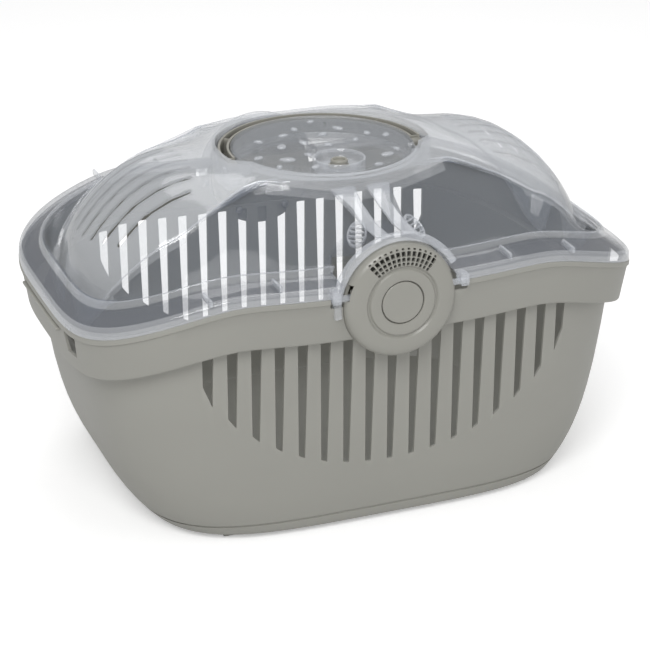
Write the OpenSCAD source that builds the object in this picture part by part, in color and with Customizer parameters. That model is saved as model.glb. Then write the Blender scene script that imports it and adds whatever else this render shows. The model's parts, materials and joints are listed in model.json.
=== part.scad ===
// Small-pet carrier: slotted tub, clear lid that hinges at the rear, folding bail handle,
// and a round push-button latch at the front and the rear. Millimetres, +Z up, front is -Y.
// The origin is on the floor under the middle of the tub.

/* [Overall size] */
// Length over the rims
overall_l = 485; // [440:1:530]
// Width over the tub's rim, without the latches
rim_w = 326; // [300:1:350]
// Height of the tub's rim at the middle of a long side
rim_z = 206; // [190:1:225]
// How far the rim droops at the two ends
rim_droop = 33; // [20:1:40]
// Height of the band above the ledge
band_h = 38; // [30:1:46]
// Height of the clear disc in the middle of the lid
disc_z = 272; // [260:1:290]

/* [Tub] */
// Thickness of the tub's wall
wall = 2.4; // [1.8:0.1:3.2]
// How far the ledge steps out under the band
ledge_step = 8; // [6:0.5:10]
// Height of the moulded feet
foot_h = 4; // [2:0.5:6]
// Number of slots along each long side
slot_count = 17; // [11:2:17]
// Distance between slots
slot_pitch = 18.6; // [17:0.1:19]
// Width of a slot at its top
slot_w = 8.4; // [6:0.1:10]
// Depth of the longest slot
slot_depth = 112; // [80:1:125]

/* [Lid] */
// Thickness of the clear lid
lid_t = 2.2; // [1.6:0.1:2.8]
// Radius of the clear centre disc
disc_r = 75; // [70:0.5:78]
// Number of vent slots in each end lobe
vent_count = 8; // [4:1:8]
// Width of a vent slot
vent_w = 4; // [3:0.5:5]
// Clearance between the lid and the tub's rim
rim_gap = 0.3; // [0.2:0.1:0.8]

/* [Handle] */
// Width of the handle's channel
handle_w = 9; // [8:0.5:9.5]
// Height of the handle's channel
handle_h = 14; // [10:0.5:15]
// Thickness of the handle's walls
handle_t = 1.8; // [1.4:0.1:2.2]

/* [Latch] */
// Radius of the round latch cover
latch_r = 46; // [44:0.5:48]
// Height of the latch's centre
latch_z = 197.8; // [196:0.1:199]
// How far the latch's face stands in front of the rim
latch_proud = 5.6; // [5:0.1:7]
// Radius of the push button
button_r = 16.9; // [14:0.1:18]
// Travel of the push button
button_travel = 4; // [3:0.1:4]
// Radial clearance of the running pins
pin_gap = 0.08; // [0.04:0.01:0.1]

/* [Hidden] */
GREY = [0.58, 0.58, 0.55];
CLEAR = [0.78, 0.82, 0.86, 0.45];
STEEL = [0.7, 0.7, 0.72];

// Points round every ring of the two shells
N = 80;
ring_turn = 360 / N;
// Exponent of the bowed plan outline
plan_n = 4.1;

half_l = overall_l / 2;
half_w = rim_w / 2;
ledge_z = rim_z - band_h;
// Band outline at the rim and at the ledge
rim_a = half_l - 1.5;
ledge_a = half_l - 7;
ledge_b = half_w - 5.5;
// Wall outline just under the ledge
wall_a = ledge_a - ledge_step + 1;
wall_b = ledge_b - ledge_step;
rim_bead_h = 4;
rim_bead_w = 4.2;

function squircle(t, n) = pow(pow(abs(cos(t)), n) + pow(abs(sin(t)), n), -1 / n);
function outline(t, a, b) = [a * squircle(t, plan_n) * cos(t), b * squircle(t, plan_n) * sin(t)];
function clip(v) = max(0, min(1, v));
function mix(u, v, s) = u + (v - u) * s;

// Height of the wavy rim above its middle, along the length
crest_x = half_l / 2;
crest_h = 3;
crest_s = 45;
function wave(x) = crest_h * exp(-pow((abs(x) - crest_x) / crest_s, 2))
                 - rim_droop * pow(clip((abs(x) - crest_x) / (half_l - crest_x)), 1.7);

// Outline of the tub's wall at height z: draft plus a long curve in to the base
base_curve_a = 37;
base_curve_b = 3;
function tub_a(z) = wall_a - 0.11 * (ledge_z - z) - base_curve_a * exp(-z / 35);
function tub_b(z) = wall_b - 0.03 * (ledge_z - z) - base_curve_b * exp(-z / 10);

// One ring of the tub's wall, level z0, following the rim's wave by the share w
function wall_ring(z0, w, inset) = [for (i = [0 : N - 1])
    let (t = i * ring_turn,
         x0 = outline(t, tub_a(z0), tub_b(z0))[0],
         z = z0 + w * wave(x0),
         p = outline(t, tub_a(z) - inset, tub_b(z) - inset))
    [p[0], p[1], z]];
// One ring of the band, at z0 on the wave
function band_ring(a, b, z0) = [for (i = [0 : N - 1])
    let (p = outline(i * ring_turn, a, b)) [p[0], p[1], z0 + wave(p[0])]];

// A closed skin through a chain of rings, flat at both ends
module skin(rings) {
    K = len(rings);
    polyhedron(
        points = [for (r = rings) each r],
        faces = concat(
            [[for (i = [0 : N - 1]) i]],
            [for (k = [0 : K - 2]) for (i = [0 : N - 1]) let (j = (i + 1) % N)
                each [[k * N + i, (k + 1) * N + i, (k + 1) * N + j],
                      [k * N + i, (k + 1) * N + j, k * N + j]]],
            [[for (i = [N - 1 : -1 : 0]) (K - 1) * N + i]]),
        convexity = 8);
}

// A flat-sided round prism along Y, from y0 to y1, centred on the latch
module latch_prism(r, y0, y1, sides = 48) {
    translate([0, y1, latch_z]) rotate([90, 0, 0])
        linear_extrude(y1 - y0)
            polygon([for (k = [0 : sides - 1]) r * [cos(360 * k / sides), sin(360 * k / sides)]]);
}

module both_sides() {
    children();
    mirror([0, 1, 0]) children();
}
module both_ends() {
    children();
    mirror([1, 0, 0]) children();
}

// Latch and hinge places shared by several pieces
face_y = half_w + latch_proud;
cover_t = 2.4;
seat_y = wall_b - 0.5;
pin_r = 2.5;
pin_y = half_w + 0.2;
pin_z = rim_z + rim_gap;
latch_gap = 0.3;
notch_x = latch_r + 11;
notch_drop = 8;

// ---- tub ----
slot_taper = 0.0155;
slot_span = slot_pitch * (slot_count - 1) / 2 + slot_w;
// Depth of the slot pattern at x, a half ellipse
function slot_floor(x) = slot_depth * sqrt(max(0.02, 1 - pow(x / slot_span, 2)));
module side_slot(i) {
    x = (i - (slot_count - 1) / 2) * slot_pitch;
    top = ledge_z - 1 + wave(x);
    l = x - slot_w / 2;
    r = x + slot_w / 2;
    dl = slot_floor(l);
    dr = slot_floor(r);
    translate([0, -wall_b + 14, 0]) rotate([90, 0, 0])
        linear_extrude(18)
            polygon([[l, top], [r, top],
                     [r - slot_taper * dr, top - dr], [l + slot_taper * dl, top - dl]]);
}
window_z = rim_z - 22;
module end_window(y) {
    translate([half_l - 40, y, 0])
        rotate([90, 0, 90])
            linear_extrude(50)
                polygon([[-8, -31], [8, -31], [11, -13], [-11, -13]] + [for (k = [0 : 3]) [0, window_z]]);
}
// Four feet, flush with the tub's flat underside
foot_x = 120;
foot_y = 118;
module feet() {
    color(GREY)
        for (x = [-foot_x, foot_x]) for (y = [-foot_y, foot_y])
            translate([x - 13, y - 7.5, 0]) cube([26, 15, foot_h]);
}
module tub() {
    inset_levels = [120, 90, 64, 46, 32, 22, 15, 10];
    color(GREY) {
        difference() {
            skin(concat(
                [for (z = [foot_h, 7, 11, 16, 23, 33, 47, 65, 90]) wall_ring(z, 0, 0)],
                [wall_ring(125, 0.2, 0), wall_ring(ledge_z, 1, 0)],
                [band_ring(ledge_a - 1.5, ledge_b - 1.5, ledge_z + 0.2),
                 band_ring(ledge_a, ledge_b, ledge_z + 2),
                 band_ring(rim_a, half_w, rim_z - 1),
                 band_ring(rim_a - 0.8, half_w - 0.8, rim_z),
                 band_ring(rim_a - rim_bead_w, half_w - rim_bead_w, rim_z),
                 band_ring(rim_a - rim_bead_w, half_w - rim_bead_w, rim_z - rim_bead_h),
                 band_ring(rim_a - wall - 0.6, half_w - wall - 0.6, rim_z - rim_bead_h - 2),
                 band_ring(ledge_a - wall, ledge_b - wall, ledge_z + wall + 1)],
                [wall_ring(ledge_z + wall, 1, wall)],
                [for (z = inset_levels) wall_ring(z, z > 100 ? 0.2 : 0, wall)],
                [wall_ring(foot_h + wall, 0, wall + 2)]));
            both_sides() {
                for (i = [0 : slot_count - 1]) side_slot(i);
                latch_prism(latch_r + latch_gap, -half_w - 20, -seat_y);
                translate([-notch_x, -half_w - 10, pin_z - notch_drop])
                    cube([2 * notch_x, 20, 30]);
                // Holes for the two lower latch screws
                for (s = [-1, 1]) screw_hole(s * low_screw_x, low_screw_z, 12);
            }
            both_ends() for (y = [-72, 72]) end_window(y);
        }
        // Finger lip along the middle of each end rim
        both_ends()
            translate([rim_a - 3.5, -52, rim_z + wave(rim_a) - 8])
                cube([half_l - rim_a + 3.5, 104, 2.4]);
    }
}

// ---- lid ----
lid_a = rim_a - 0.3;
lid_b = half_w - 0.3;
lip_h = 6.5;
curb_h = 14;
curb_a = half_l - 20.5;
curb_b = half_w - 33;
crown_a = half_l - 23.5;
crown_front = 83;
crown_back = 92.5;
crown_n = 5;
crown_z = disc_z + 4;
moat_w = 12.5;
moat_depth = 20;
lobe_start = 115;
lobe_fall = 72;

// Half-width of the lid's top body along x, pinched where the windows bite in
function pinch(x) = 1 - 0.2 * exp(-pow((abs(x) - 92) / 30, 2));
function crown_w(x) = max(22, (crown_front - 1) * pow(max(0, 1 - pow(abs(x) / crown_a, crown_n)), 1 / crown_n)
                      * pinch(x));
// Height of the top body: level in the middle, falling over the lobes, rounded across
function ridge_z(x) = crown_z - lobe_fall * pow(clip((abs(x) - lobe_start) / (crown_a - lobe_start)), 2.5);
function round_over(x) = 3 + 29 * clip((abs(x) - 80) / 70);
function body_z(x, y) = ridge_z(x) - round_over(x) * pow(clip(abs(y) / crown_w(x)), 2.5);
// Edge between the top body and the side windows
function crown_xy(t) =
    let (s = squircle(t, crown_n), x = crown_a * s * cos(t), b = t > 180 ? crown_front : crown_back)
    [x, b * s * sin(t) * pinch(x)];
function crown_edge_z(p) = ridge_z(p[0]) - round_over(p[0]) * pow(clip(abs(p[1]) / crown_w(p[0])), 2.5)
                         - 12 * exp(-pow(p[0] / 45, 2)) - 14 * clip((abs(p[0]) - crown_a + 14) / 14);
// 1 where the handle's moat runs, 0 across the front
function moat_share(t) = let (d = t > 270 ? 360 - t : max(0, t - 180), u = (t > 180) ? d : 0)
    1 - clip((u - 13.5) / 9);
function moat_outer(t) = disc_r + 3 + (moat_w - 3) * moat_share(t);
function moat_floor(t) = disc_z - 1 - (moat_depth - 1) * moat_share(t);
function on_circle(r, t) = [r * cos(t), r * sin(t)];

// Rings of the lid: inset moves a ring inwards in plan, grow outwards from the moat, and drop lowers it
skin_inset = 1.2;
function lid_low(a, b, h, drop) = [for (i = [0 : N - 1])
    let (p = outline(i * ring_turn, a, b)) [p[0], p[1], rim_z + rim_gap + wave(p[0]) + h - drop]];
function crown_in(t, inset) = crown_xy(t) * (1 - inset / crown_front);
function lid_window(s, inset, drop) = [for (i = [0 : N - 1])
    let (t = i * ring_turn,
         p = outline(t, curb_a - inset, curb_b - inset),
         q = crown_in(t, inset),
         z0 = rim_z + rim_gap + wave(p[0]) + curb_h,
         z1 = crown_edge_z(crown_xy(t)),
         m = mix(p, q, s),
         sag = 5 * 4 * s * (1 - s) * pow(abs(sin(t)), 2))
    [m[0], m[1], mix(z0, z1, s) - sag - drop]];
function lid_body(s, inset, grow, drop) = [for (i = [0 : N - 1])
    let (t = i * ring_turn,
         m = mix(crown_in(t, inset), on_circle(moat_outer(t) + grow, t), s))
    [m[0], m[1], body_z(m[0], m[1]) - drop]];
function disc_ring(grow, z) = [for (i = [0 : N - 1])
    let (p = on_circle(disc_r + grow, i * ring_turn)) [p[0], p[1], z]];
function moat_inner_foot(grow, drop) = [for (i = [0 : N - 1])
    let (t = i * ring_turn, p = on_circle(disc_r + grow, t)) [p[0], p[1], moat_floor(t) - drop]];
function moat_outer_foot(grow, drop) = [for (i = [0 : N - 1])
    let (t = i * ring_turn, p = on_circle(moat_outer(t) + grow, t)) [p[0], p[1], moat_floor(t) - drop]];
function moat_edge(grow, drop) = [for (i = [0 : N - 1])
    let (t = i * ring_turn, p = on_circle(moat_outer(t) + grow, t)) [p[0], p[1], body_z(p[0], p[1]) - drop]];

pad_y = 13;
pivot_y = -6;
pivot_z = disc_z - 9;
pivot_pin_r = 2.5;
handle_in = disc_r + 1.2;
handle_out = handle_in + handle_w;
pad_in = handle_in - 0.6;
pad_out = handle_out + 0.6;
collar_in = latch_r + 1.8;
collar_out = collar_in + 6;
collar_d = 7;
// The latch sweeps this far in under the lid as the lid swings over it
vault_back = pin_y - norm([pin_y - seat_y, latch_z + latch_r - pin_z]) - 1.5;
vault_r = collar_in + lid_t;
ear_x = latch_r + 3.5;

// An upright half ring over the latch, flat-sided, from a height above the hinge line
module arch(r_in, r_out, y0, y1, above = 0.3) {
    low = pin_z + above - latch_z;
    function a0(r) = asin(low / r);
    function arc_pts(r) = [for (k = [0 : 24]) let (a = mix(a0(r), 180 - a0(r), k / 24)) r * [cos(a), sin(a)]];
    translate([0, y1, latch_z]) rotate([90, 0, 0])
        linear_extrude(y1 - y0)
            polygon(r_in == 0 ? arc_pts(r_out)
                    : concat(arc_pts(r_out), [for (k = [24 : -1 : 0]) arc_pts(r_in)[k]]));
}
// Two slanting ribs from the vault's top up to the crown, ending at distance y
module rib_pair(y) {
    for (s = [-1, 1])
        translate([s * 13 - 5, 0, 0]) rotate([90, 0, 90])
            linear_extrude(10)
                polygon([[-vault_back - 8, latch_z + collar_in + 1], [-vault_back - 8, latch_z + vault_r + 1.5],
                         [-y, disc_z - 8.5], [-y, disc_z - 12.5]]);
}
module vent(i) {
    y = (i - (vent_count - 1) / 2) * 15;
    x0 = 118 + 0.004 * y * y;
    x1 = crown_a - 12 - 0.006 * y * y;
    translate([x0, y - vent_w / 2, ledge_z]) cube([x1 - x0, vent_w, 150]);
}
dish_y = -37;
dish_r = 19.5;
plug_r = 7.5;
dish_depth = 9;
// A flat-sided hole or post that a circle of radius r just fits inside
module twelve_sided(r, h) { cylinder(r = r / cos(15), h = h, $fn = 12); }

module lid() {
    color(CLEAR) {
        difference() {
            union() {
                difference() {
                    skin(concat(
                        [disc_ring(-lid_t, disc_z - lid_t),
                         moat_inner_foot(-lid_t + 0.1, lid_t),
                         moat_outer_foot(lid_t, lid_t),
                         moat_edge(lid_t + 0.2, lid_t)],
                        [for (s = [0.75, 0.5, 0.25]) lid_body(s, skin_inset, lid_t + 0.2, lid_t)],
                        [for (s = [1, 0.66, 0.33, 0]) lid_window(s, skin_inset, lid_t - 0.4)],
                        [lid_low(curb_a + 3, curb_b + 5, 9.5, lid_t),
                         lid_low(lid_a - 5, lid_b - 5, 8, lid_t),
                         lid_low(lid_a - lid_t, lid_b - lid_t, lip_h, lid_t + 0.4),
                         lid_low(lid_a - lid_t, lid_b - lid_t, 0, 0),
                         lid_low(lid_a, lid_b, 0, 0),
                         lid_low(lid_a, lid_b, lip_h, 0),
                         lid_low(lid_a - 2.5, lid_b - 2.5, 8.5, 0),
                         lid_low(curb_a + 4, curb_b + 6, 9.8, 0)],
                        [for (s = [0, 0.33, 0.66, 1]) lid_window(s, 0, 0)],
                        [for (s = [0.25, 0.5, 0.75]) lid_body(s, 0, 0, 0)],
                        [moat_edge(0, 0),
                         moat_outer_foot(-0.05, 0),
                         moat_inner_foot(0.05, 0),
                         disc_ring(0, disc_z)]));
                    both_ends() for (i = [0 : vent_count - 1]) vent(i);
                    both_sides() latch_prism(collar_in + lid_t / 2, -half_w - 20, -vault_back);
                    // Round dish in the centre disc
                    translate([0, dish_y, disc_z - 5]) twelve_sided(dish_r, 20);
                }
                // Arched collar over each latch, its back wall, and two ribs up to the crown
                both_sides() {
                    arch(collar_in, collar_out, -lid_b, -lid_b + collar_d);
                    arch(collar_in, vault_r, -lid_b + 1, -vault_back);
                    arch(0, vault_r, -vault_back - 0.1, -vault_back + lid_t, 12);
                    for (s = [-1, 1])
                        translate([s > 0 ? ear_x : -ear_x - 7, -pin_y - 3.6, pin_z - 3.6])
                            cube([7, 11, 7.2 + 3]);
                }
                rib_pair(crown_front - 3);
                mirror([0, 1, 0]) rib_pair(crown_back - 2.2);
                // Pads either side of the moat that carry the handle's pins
                both_ends() {
                    translate([pad_in - 3, pivot_y - pad_y / 2, pivot_z - 6]) cube([3, pad_y, 12]);
                    translate([pad_out, pivot_y - pad_y / 2, pivot_z - 6]) cube([4, pad_y, 12]);
                }
                // Floor and wall of the dish
                translate([0, dish_y, disc_z - dish_depth])
                    difference() {
                        twelve_sided(dish_r + 2, dish_depth - 0.4);
                        translate([0, 0, 2]) twelve_sided(dish_r, dish_depth);
                        translate([0, 0, -1]) twelve_sided(plug_r, 5);
                    }
            }
            both_sides() for (s = [-1, 1])
                translate([s * (ear_x + 1.5) - 7, -pin_y, pin_z]) rotate([0, 90, 0])
                    twelve_sided(pin_r + 0.02, 14);
            both_ends()
                translate([pad_in - 4, pivot_y, pivot_z]) rotate([0, 90, 0])
                    twelve_sided(pivot_pin_r + 0.02, pad_out - pad_in + 7);
        }
    }
}
module port_plug() {
    color(GREY) translate([0, dish_y, disc_z - dish_depth]) {
        cylinder(r = plug_r - 0.1, h = 8);
        translate([0, 0, 2]) cylinder(r = plug_r + 1.2, h = 1.4);
    }
}
module lid_pins() {
    color(GREY) for (s = [-1, 1])
        translate([s > 0 ? latch_r - 9.7 : -ear_x - 7, -pin_y, pin_z]) rotate([0, 90, 0])
            cylinder(r = pin_r, h = ear_x + 7 - latch_r + 9.7);
}

// ---- handle ----
handle_top = disc_z - 1;
handle_floor = handle_top - handle_h;
module handle() {
    t = handle_t;
    color(GREY) difference() {
        union() {
            rotate([0, 0, -2]) rotate_extrude(angle = 184, $fn = 120)
                polygon([[handle_in, handle_floor], [handle_out, handle_floor], [handle_out, handle_top],
                         [handle_out - t, handle_top], [handle_out - t, handle_floor + t],
                         [handle_in + t, handle_floor + t], [handle_in + t, handle_top], [handle_in, handle_top]]);
            for (a = [-1, 35, 145, 181])
                rotate([0, 0, a]) translate([handle_in + t / 2, -0.8, handle_floor + t / 2])
                    cube([handle_w - t, 1.6, handle_h - t / 2 - 1]);
            for (x = [handle_in, -handle_out]) {
                translate([x, pivot_y, pivot_z]) rotate([0, 90, 0]) cylinder(r = 5.4, h = handle_w, $fn = 48);
                translate([x, pivot_y, pivot_z - 5.4]) cube([handle_w, 7, 10.8]);
            }
        }
        for (x = [handle_in, -handle_out])
            translate([x - 1, pivot_y, pivot_z]) rotate([0, 90, 0])
                cylinder(r = pivot_pin_r + pin_gap, h = handle_w + 2, $fn = 48);
    }
}
module handle_pins() {
    color(STEEL) for (x = [-pad_out - 2.5, pad_in - 2.5])
        translate([x, pivot_y, pivot_z]) rotate([0, 90, 0])
            cylinder(r = pivot_pin_r, h = pad_out - pad_in + 5, $fn = 48);
}

// ---- latch: built for the front, mirrored for the rear ----
plate_t = 2.4;
plate_y = seat_y + plate_t;
screw_r = 1.5;
boss_r = 3.4;
low_screw_x = 21.8;
low_screw_z = latch_z - 31;
top_screw_z = latch_z + 24;
catch_t = 2.4;
catch_back = plate_y + button_travel + 0.2;
stem_r = 6;
flange_r = 20;
face_in = face_y - cover_t;
flange_y = face_in - 0.2;

// Cylinder along Y between two distances in front of the middle
module y_rod(r, y0, y1, x = 0, z = latch_z) {
    translate([x, -y0, z]) rotate([90, 0, 0]) cylinder(r = r, h = y1 - y0, $fn = 64);
}
module screw_hole(x, z, l) {
    y_rod(screw_r + 0.15, seat_y - l, seat_y + 4, x, z);
}
// Radius, length of each row of the grille
grille = [[29, 2.8], [32.6, 3.2], [37.2, 4.4], [41.2, 1.6]];
module grille_slots() {
    translate([0, -face_y + cover_t + 1, latch_z]) rotate([90, 0, 0])
        linear_extrude(cover_t + 2)
            for (row = grille) for (a = [-45 : 7.5 : 45])
                rotate(90 + a) translate([row[0], 0]) square([row[1], 1.7], center = true);
}
module latch_cover() {
    block_top = pin_z + 5;
    color(GREY) difference() {
        union() {
            difference() {
                y_rod(latch_r, seat_y, face_y);
                y_rod(latch_r - 2, seat_y - 1, face_in);
            }
            for (p = [[low_screw_x, low_screw_z], [-low_screw_x, low_screw_z], [0, top_screw_z]])
                y_rod(boss_r, plate_y, face_y - 1, p[0], p[1]);
            // Bearing blocks for the lid's pins
            intersection() {
                for (s = [-1, 1])
                    translate([s > 0 ? latch_r - 6.2 : 1.2 - latch_r, -face_in - 0.5, pin_z - 7])
                        cube([5, 10, block_top - pin_z + 7]);
                y_rod(latch_r - 1, seat_y, face_y);
            }
        }
        y_rod(button_r + 0.4, face_y - 8, face_y + 1);
        // Ring groove in the face
        difference() {
            y_rod(28, face_y - 0.8, face_y + 1);
            y_rod(26.6, face_y - 2, face_y + 2);
        }
        grille_slots();
        for (p = [[low_screw_x, low_screw_z], [-low_screw_x, low_screw_z], [0, top_screw_z]])
            y_rod(screw_r + 0.02, plate_y - 1, face_in - 2, p[0], p[1]);
        // Open-topped seats for the lid's pins
        for (s = [-1, 1]) {
            translate([s * (latch_r - 4) - 7, -pin_y, pin_z]) rotate([0, 90, 0])
                cylinder(r = pin_r + pin_gap, h = 14, $fn = 48);
            translate([s * (latch_r - 4) - 7, -pin_y - pin_r - pin_gap, pin_z])
                cube([14, 2 * (pin_r + pin_gap) + 0.02, 5]);
            translate([s * (latch_r - 4) - 7, -pin_y - pin_r - pin_gap, pin_z + 4])
                cube([14, 2 * (pin_r + pin_gap) + 1, 15]);
        }
    }
}
module button() {
    color(GREY) difference() {
        union() {
            y_rod(button_r, flange_y - 1.2, face_y - 0.3);
            y_rod(flange_r, flange_y - 1.6, flange_y);
            y_rod(stem_r + 1, catch_back + catch_t, flange_y - 1);
            y_rod(stem_r, catch_back, flange_y);
        }
        y_rod(4.4, catch_back - 1, face_y - 2.6);
    }
}
// Bar clipped on the button's stem; its ends reach the lid's pins
module catch() {
    color(GREY) difference() {
        union() {
            y_rod(stem_r + 3.4, catch_back, catch_back + catch_t);
            translate([-latch_r + 6.7, -catch_back - catch_t, latch_z + 1])
                cube([2 * latch_r - 13.4, catch_t, 11]);
        }
        y_rod(stem_r + 0.02, catch_back - 1, catch_back + catch_t + 1);
    }
}
spring_r = 3.3;
wire_r = 0.4;
spring_turns = 6;
// Coil between the backplate and the inside of the button's cap
module button_spring() {
    y0 = plate_y + wire_r;
    y1 = face_y - 2.6 - wire_r;
    steps = spring_turns * 12;
    sides = 6;
    pts = [for (k = [0 : steps]) for (j = [0 : sides - 1])
        let (a = 30 * k, b = 360 * j / sides, r = spring_r + wire_r * cos(b))
        [r * cos(a), -mix(y0, y1, k / steps) - wire_r * sin(b), latch_z + r * sin(a)]];
    color(STEEL) polyhedron(points = pts, faces = concat(
        [[for (j = [sides - 1 : -1 : 0]) j]],
        [for (k = [0 : steps - 1]) for (j = [0 : sides - 1]) let (n = (j + 1) % sides)
            each [[k * sides + j, (k + 1) * sides + n, (k + 1) * sides + j],
                  [k * sides + j, k * sides + n, (k + 1) * sides + n]]],
        [[for (j = [0 : sides - 1]) steps * sides + j]]));
}
module backplate() {
    color(GREY) difference() {
        union() {
            y_rod(latch_r - 2.3, seat_y, plate_y);
            y_rod(2.2, plate_y - 1, plate_y + 8);
        }
        for (p = [[low_screw_x, low_screw_z], [-low_screw_x, low_screw_z], [0, top_screw_z]])
            y_rod(screw_r + 0.15, seat_y - 1, plate_y + 1, p[0], p[1]);
    }
}
module screw(x, z, y_head) {
    y_rod(screw_r, y_head, plate_y + 9, x, z);
    y_rod(2.9, y_head - 1.6, y_head, x, z);
}
module latch_screws() {
    color(STEEL) {
        for (s = [-1, 1]) screw(s * low_screw_x, low_screw_z, seat_y - wall + 0.3);
        screw(0, top_screw_z, seat_y);
    }
}
module rear() { mirror([0, 1, 0]) children(); }

tub();
feet();
lid();
port_plug();
handle();
handle_pins();
lid_pins();  // front_lid_pins
rear() lid_pins();  // rear_lid_pins
latch_cover();  // front_latch_cover
button();  // front_button
catch();  // front_catch
button_spring();  // front_button_spring
backplate();  // front_backplate
latch_screws();  // front_latch_screws
rear() latch_cover();  // rear_latch_cover
rear() button();  // rear_button
rear() catch();  // rear_catch
rear() button_spring();  // rear_button_spring
rear() backplate();  // rear_backplate
rear() latch_screws();  // rear_latch_screws
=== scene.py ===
import json
import math

import bmesh
import bpy
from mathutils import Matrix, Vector


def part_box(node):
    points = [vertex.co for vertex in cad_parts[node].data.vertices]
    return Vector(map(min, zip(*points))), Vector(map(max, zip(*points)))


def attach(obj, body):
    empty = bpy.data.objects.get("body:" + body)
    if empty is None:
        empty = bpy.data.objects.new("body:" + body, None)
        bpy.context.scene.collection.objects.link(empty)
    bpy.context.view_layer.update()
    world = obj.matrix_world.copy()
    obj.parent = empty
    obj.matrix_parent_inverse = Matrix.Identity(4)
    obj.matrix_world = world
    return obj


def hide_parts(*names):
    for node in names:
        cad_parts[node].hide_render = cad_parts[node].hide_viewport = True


bl_info = {
    "name": "Small pet carrier",
    "version": (1, 0, 0),
    "blender": (4, 5, 0),
    "location": "View3D > Sidebar > Carrier",
    "description": "Builds a slotted pet carrier with a clear lid around its CAD frame",
    "category": "Object",
}

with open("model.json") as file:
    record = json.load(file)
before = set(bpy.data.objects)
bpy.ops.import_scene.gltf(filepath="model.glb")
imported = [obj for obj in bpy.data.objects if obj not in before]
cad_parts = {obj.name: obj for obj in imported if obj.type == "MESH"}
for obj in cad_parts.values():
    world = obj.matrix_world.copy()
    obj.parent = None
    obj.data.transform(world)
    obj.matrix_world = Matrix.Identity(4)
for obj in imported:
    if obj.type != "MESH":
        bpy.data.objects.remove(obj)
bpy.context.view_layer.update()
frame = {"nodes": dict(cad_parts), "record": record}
MM = 0.001

# ---- sizes of the shells, in millimetres ----
TUB_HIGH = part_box("tub")[1] / MM
COVER_LOW, COVER_HIGH = (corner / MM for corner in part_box("front_latch_cover"))
BUTTON_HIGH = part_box("front_button")[1] / MM
PLUG_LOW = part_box("port_plug")[0] / MM
HANDLE_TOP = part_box("handle")[1].z / MM
RING_POINTS = 240
PLAN_N = 4.1
HALF_L = TUB_HIGH.x
HALF_W = 163.0
RIM_Z = 206.0
RIM_DROOP = 33.0
LEDGE_Z = 168.0
FOOT_H = 4.0
FOOT_PLACE = 120, 118
FOOT_HALF = 13, 7.5
LIP_HALF = 52
END_WINDOW_Y = 72
WALL = 2.4
RIM_A = HALF_L - 1.5
LEDGE_A = HALF_L - 7
LEDGE_B = HALF_W - 5.5
WALL_A = LEDGE_A - 7
WALL_B = LEDGE_B - 8
CREST_X = HALF_L / 2
CREST_RISE = 3
CREST_WIDTH = 45
DROOP_POWER = 1.7
SLOT_COUNT = 17
SLOT_PITCH = 18.6
SLOT_W = 8.4
SLOT_DEPTH = 112.0
SLOT_TAPER = 0.0155
SLOT_SPAN = SLOT_PITCH * (SLOT_COUNT - 1) / 2 + SLOT_W

DISC_R = 75.0
DISC_Z = 272.0
LID_T = 2.2
SEAT_Z = RIM_Z + 0.3
LID_A = RIM_A - 0.3
LID_B = HALF_W - 0.3
CURB_A = HALF_L - 20.5
CURB_B = HALF_W - 33
CURB_H = 14.0
BRACKETS_X = -150, -95, 95, 150
CROWN_A = HALF_L - 23.5
CROWN_FRONT = 83.0
CROWN_BACK = 92.5
CROWN_N = 5
CROWN_Z = DISC_Z + 4
CROWN_LEAST_W = 22
PINCH = 0.2
PINCH_X = 92
LOBE_X = 115
LOBE_FALL = 72
MOAT_W = 12.5
MOAT_DEPTH = 20.0
DISH_Y = -37.0
DISH_R = 19.5
VENT_COUNT = 8
VENT_W = 4.0
VENT_PITCH = 15

LATCH_Z = (COVER_LOW.z + COVER_HIGH.z) / 2
LATCH_R = COVER_HIGH.x
FACE_Y = -COVER_LOW.y
SEAT_Y = -COVER_HIGH.y
COLLAR_IN = LATCH_R + 1.8
COLLAR_OUT = COLLAR_IN + 6
VAULT_R = COLLAR_IN + LID_T
VAULT_BACK = 121.6
PIN_Y = HALF_W + 0.2


def owner(node):
    """The body that the record gives a node to."""
    bodies = frame["record"]["behaviour"]["bodies"]
    return next(body for body, nodes in bodies.items() if node in nodes)


def mix(a, b, s):
    return a + (b - a) * s


def clip(v):
    return max(0.0, min(1.0, v))


def squircle(t, n):
    return (abs(math.cos(t)) ** n + abs(math.sin(t)) ** n) ** (-1 / n)


def outline(t, a, b):
    s = squircle(t, PLAN_N)
    return a * s * math.cos(t), b * s * math.sin(t)


def wave(x):
    """Height of the rim above its middle at x along the carrier."""
    past = abs(x) - CREST_X
    return CREST_RISE * math.exp(-(past / CREST_WIDTH) ** 2) - RIM_DROOP * clip(
        past / (HALF_L - CREST_X)) ** DROOP_POWER


def wall_a(z):
    return WALL_A - 0.11 * (LEDGE_Z - z) - 37 * math.exp(-z / 35)


def wall_b(z):
    return WALL_B - 0.03 * (LEDGE_Z - z) - 3 * math.exp(-z / 10)


def angles():
    return [2 * math.pi * i / RING_POINTS for i in range(RING_POINTS)]


def wall_ring(z0, share, inset):
    """A ring of the tub's wall at z0, following the rim's wave by a share."""
    ring = []
    for t in angles():
        x0 = outline(t, wall_a(z0), wall_b(z0))[0]
        z = z0 + share * wave(x0)
        x, y = outline(t, wall_a(z) - inset, wall_b(z) - inset)
        ring.append((x, y, z))
    return ring


def band_ring(a, b, z0):
    """A ring of half sizes a and b that follows the rim's wave in full."""
    ring = []
    for t in angles():
        x, y = outline(t, a, b)
        ring.append((x, y, z0 + wave(x)))
    return ring


def pinch(x):
    """Share of the crown's width left at x, narrowest where the two end lobes begin."""
    return 1 - PINCH * math.exp(-((abs(x) - PINCH_X) / 30) ** 2)


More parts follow.
